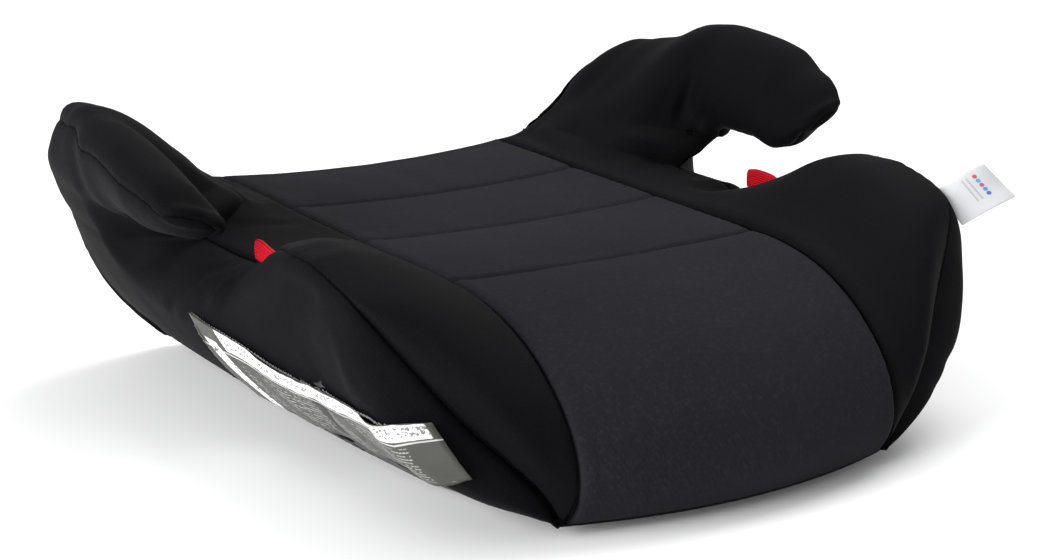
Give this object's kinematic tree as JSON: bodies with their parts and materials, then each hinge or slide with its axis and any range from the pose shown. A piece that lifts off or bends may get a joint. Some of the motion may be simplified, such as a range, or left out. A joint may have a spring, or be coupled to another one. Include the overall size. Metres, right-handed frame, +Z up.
{
  "type": "booster seat",
  "caption": "Backless child booster seat with two hooked armrests over belt gaps, a quilted centre panel and raised front bolsters.",
  "frame": {"origin": "on the floor plane, under the middle of the overall width and depth", "axes": "+Z up, front towards -Y, +X towards the armrest that has the care label"},
  "size_m": [0.4256, 0.4, 0.1729],
  "materials": {
    "shell_plastic": "matt",
    "screw_steel": "zinc plated",
    "foot_rubber": "matt",
    "foam": "open-cell polyurethane foam",
    "quilted_knit": "brushed knit, quilted",
    "black_jersey": "stretch jersey",
    "elastic": "braided elastic",
    "red_ribbon": "ribbed woven ribbon",
    "printed_film": "printed polyester film",
    "white_satin": "satin ribbon"
  },
  "bodies": {
    "root": {"seat_shell": "shell_plastic", "armrest_core_left": "shell_plastic", "armrest_core_right": "shell_plastic", "armrest_screws_left": "screw_steel", "armrest_screws_right": "screw_steel", "anti_slip_feet": "foot_rubber", "seat_foam": "foam", "bolster_foam_left": "foam", "bolster_foam_right": "foam", "armrest_foam_left": "foam", "armrest_foam_right": "foam", "cover_seat_panel": "quilted_knit", "cover_inner_left": "black_jersey", "cover_inner_right": "black_jersey", "cover_outer_left": "black_jersey", "cover_outer_right": "black_jersey", "cover_back_panel": "black_jersey", "cover_hem": "black_jersey", "hem_elastic": "elastic", "hem_hooks": "shell_plastic", "belt_tab_left": "red_ribbon", "belt_tab_right": "red_ribbon", "warning_label": "printed_film", "care_label": "white_satin"}
  },
  "joints": []
}
